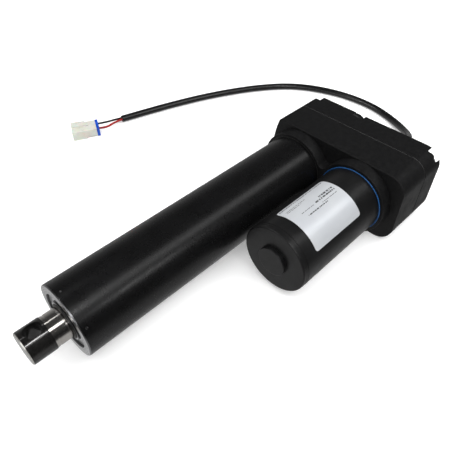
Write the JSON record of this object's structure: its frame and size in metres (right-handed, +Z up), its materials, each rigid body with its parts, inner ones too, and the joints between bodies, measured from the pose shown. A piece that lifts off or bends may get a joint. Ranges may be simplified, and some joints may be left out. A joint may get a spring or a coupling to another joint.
{
  "type": "linear actuator",
  "caption": "Electric linear actuator: screw-driven rod in a round tube, motor alongside, gear housing at the back, an eye at each end and a lead with a plug.",
  "frame": {"origin": "centre of the rear eye's bore, on the axis of the tube", "axes": "+X along the tube from the rear eye to the rod end, +Y from the tube to the motor, +Z up along the bores of both eyes"},
  "size_m": [0.4811, 0.3578, 0.0696],
  "materials": {
    "cast_black": "fine textured black powder coat",
    "tube_black": "satin black anodised",
    "can_black": "satin black paint",
    "machined_aluminium": "fine turned",
    "rod_steel": "ground and hard chromed",
    "dark_steel": "glossy black oxide",
    "steel": "machined",
    "screw_black": "black zinc",
    "bronze": "sintered",
    "copper": "enamelled wire",
    "black_rubber": "smooth",
    "blue_rubber": "smooth",
    "gasket": "matt",
    "guide_plastic": "plain",
    "black_plastic": "fine grain",
    "nylon_white": "milky natural nylon",
    "lock_blue": "gloss",
    "ferrite": "plain",
    "carbon": "graphite",
    "board": "laminate",
    "sheath": "braided sleeve",
    "wire_red": "gloss",
    "wire_black": "gloss"
  },
  "bodies": {
    "root": {"gear_housing": "cast_black", "rear_cover": "cast_black", "cover_gasket": "gasket", "cover_screws": "screw_black", "rear_lug": "cast_black", "rear_eye_bush": "black_plastic", "outer_tube": "tube_black", "tube_seal_ring": "black_rubber", "front_cap": "machined_aluminium", "cap_seal_ring": "black_rubber", "cap_lock_screws": "steel", "rod_bush": "bronze", "rod_seal": "black_rubber", "rod_wiper": "black_rubber", "bearing_outer_race": "steel", "bearing_circlip": "screw_black", "spindle_rear_bush": "bronze", "idler_axle": "steel", "motor_can": "can_black", "motor_end_cap": "can_black", "motor_flange": "machined_aluminium", "motor_seal_ring": "blue_rubber", "motor_bush_front": "bronze", "motor_bush_rear": "bronze", "brush_plate": "black_plastic", "carbon_brushes": "carbon", "brush_springs": "steel", "field_magnets": "ferrite", "motor_screws": "screw_black", "limit_switch_board": "board", "limit_switches": "black_plastic", "cable_gland": "black_plastic", "gland_locknut": "black_plastic", "cord_sheath": "sheath", "wire_black": "wire_black", "wire_red": "wire_red", "connector_housing": "nylon_white", "connector_lock": "lock_blue", "connector_pins": "steel"},
    "spindle": {"lead_screw": "steel", "spindle_nut": "steel", "screw_end_guide": "guide_plastic", "bearing_inner_race": "steel", "bearing_balls": "steel", "bearing_cage": "bronze", "spindle_gear": "steel"},
    "idler": {"idler_wheel": "guide_plastic", "idler_pinion": "steel"},
    "armature": {"motor_pinion": "steel", "motor_shaft": "steel", "armature_core": "steel", "armature_windings": "copper", "commutator_sleeve": "black_plastic", "commutator_bars": "copper"},
    "rod": {"drive_nut": "bronze", "nut_lock_screws": "steel", "guide_ring": "guide_plastic", "extension_rod": "rod_steel", "rod_end": "dark_steel"}
  },
  "joints": [
    {"name": "motor_spin", "type": "hinge", "parent": "root", "child": "armature", "pos_m": [0.15, 0.0654, 0], "axis": [-1, 0, 0], "range_deg": [0, 99977]},
    {"name": "idler_spin", "type": "hinge", "parent": "root", "child": "idler", "pos_m": [0.05, 0.03746, 0.00179], "axis": [-1, 0, 0], "range_deg": [-33326, 0]},
    {"name": "spindle_spin", "type": "hinge", "parent": "root", "child": "spindle", "pos_m": [0.07, 0, 0], "axis": [-1, 0, 0], "range_deg": [0, 12960]},
    {"name": "rod_slide", "type": "slide", "parent": "root", "child": "rod", "axis": [1, 0, 0], "range_m": [0, 0.18]}
  ],
  "couplings": [
    {"joint": "idler_spin", "follows": "motor_spin", "ratio": -0.33333},
    {"joint": "spindle_spin", "follows": "motor_spin", "ratio": 0.12963},
    {"joint": "rod_slide", "follows": "motor_spin", "m_per_rad": 0.00010316}
  ]
}
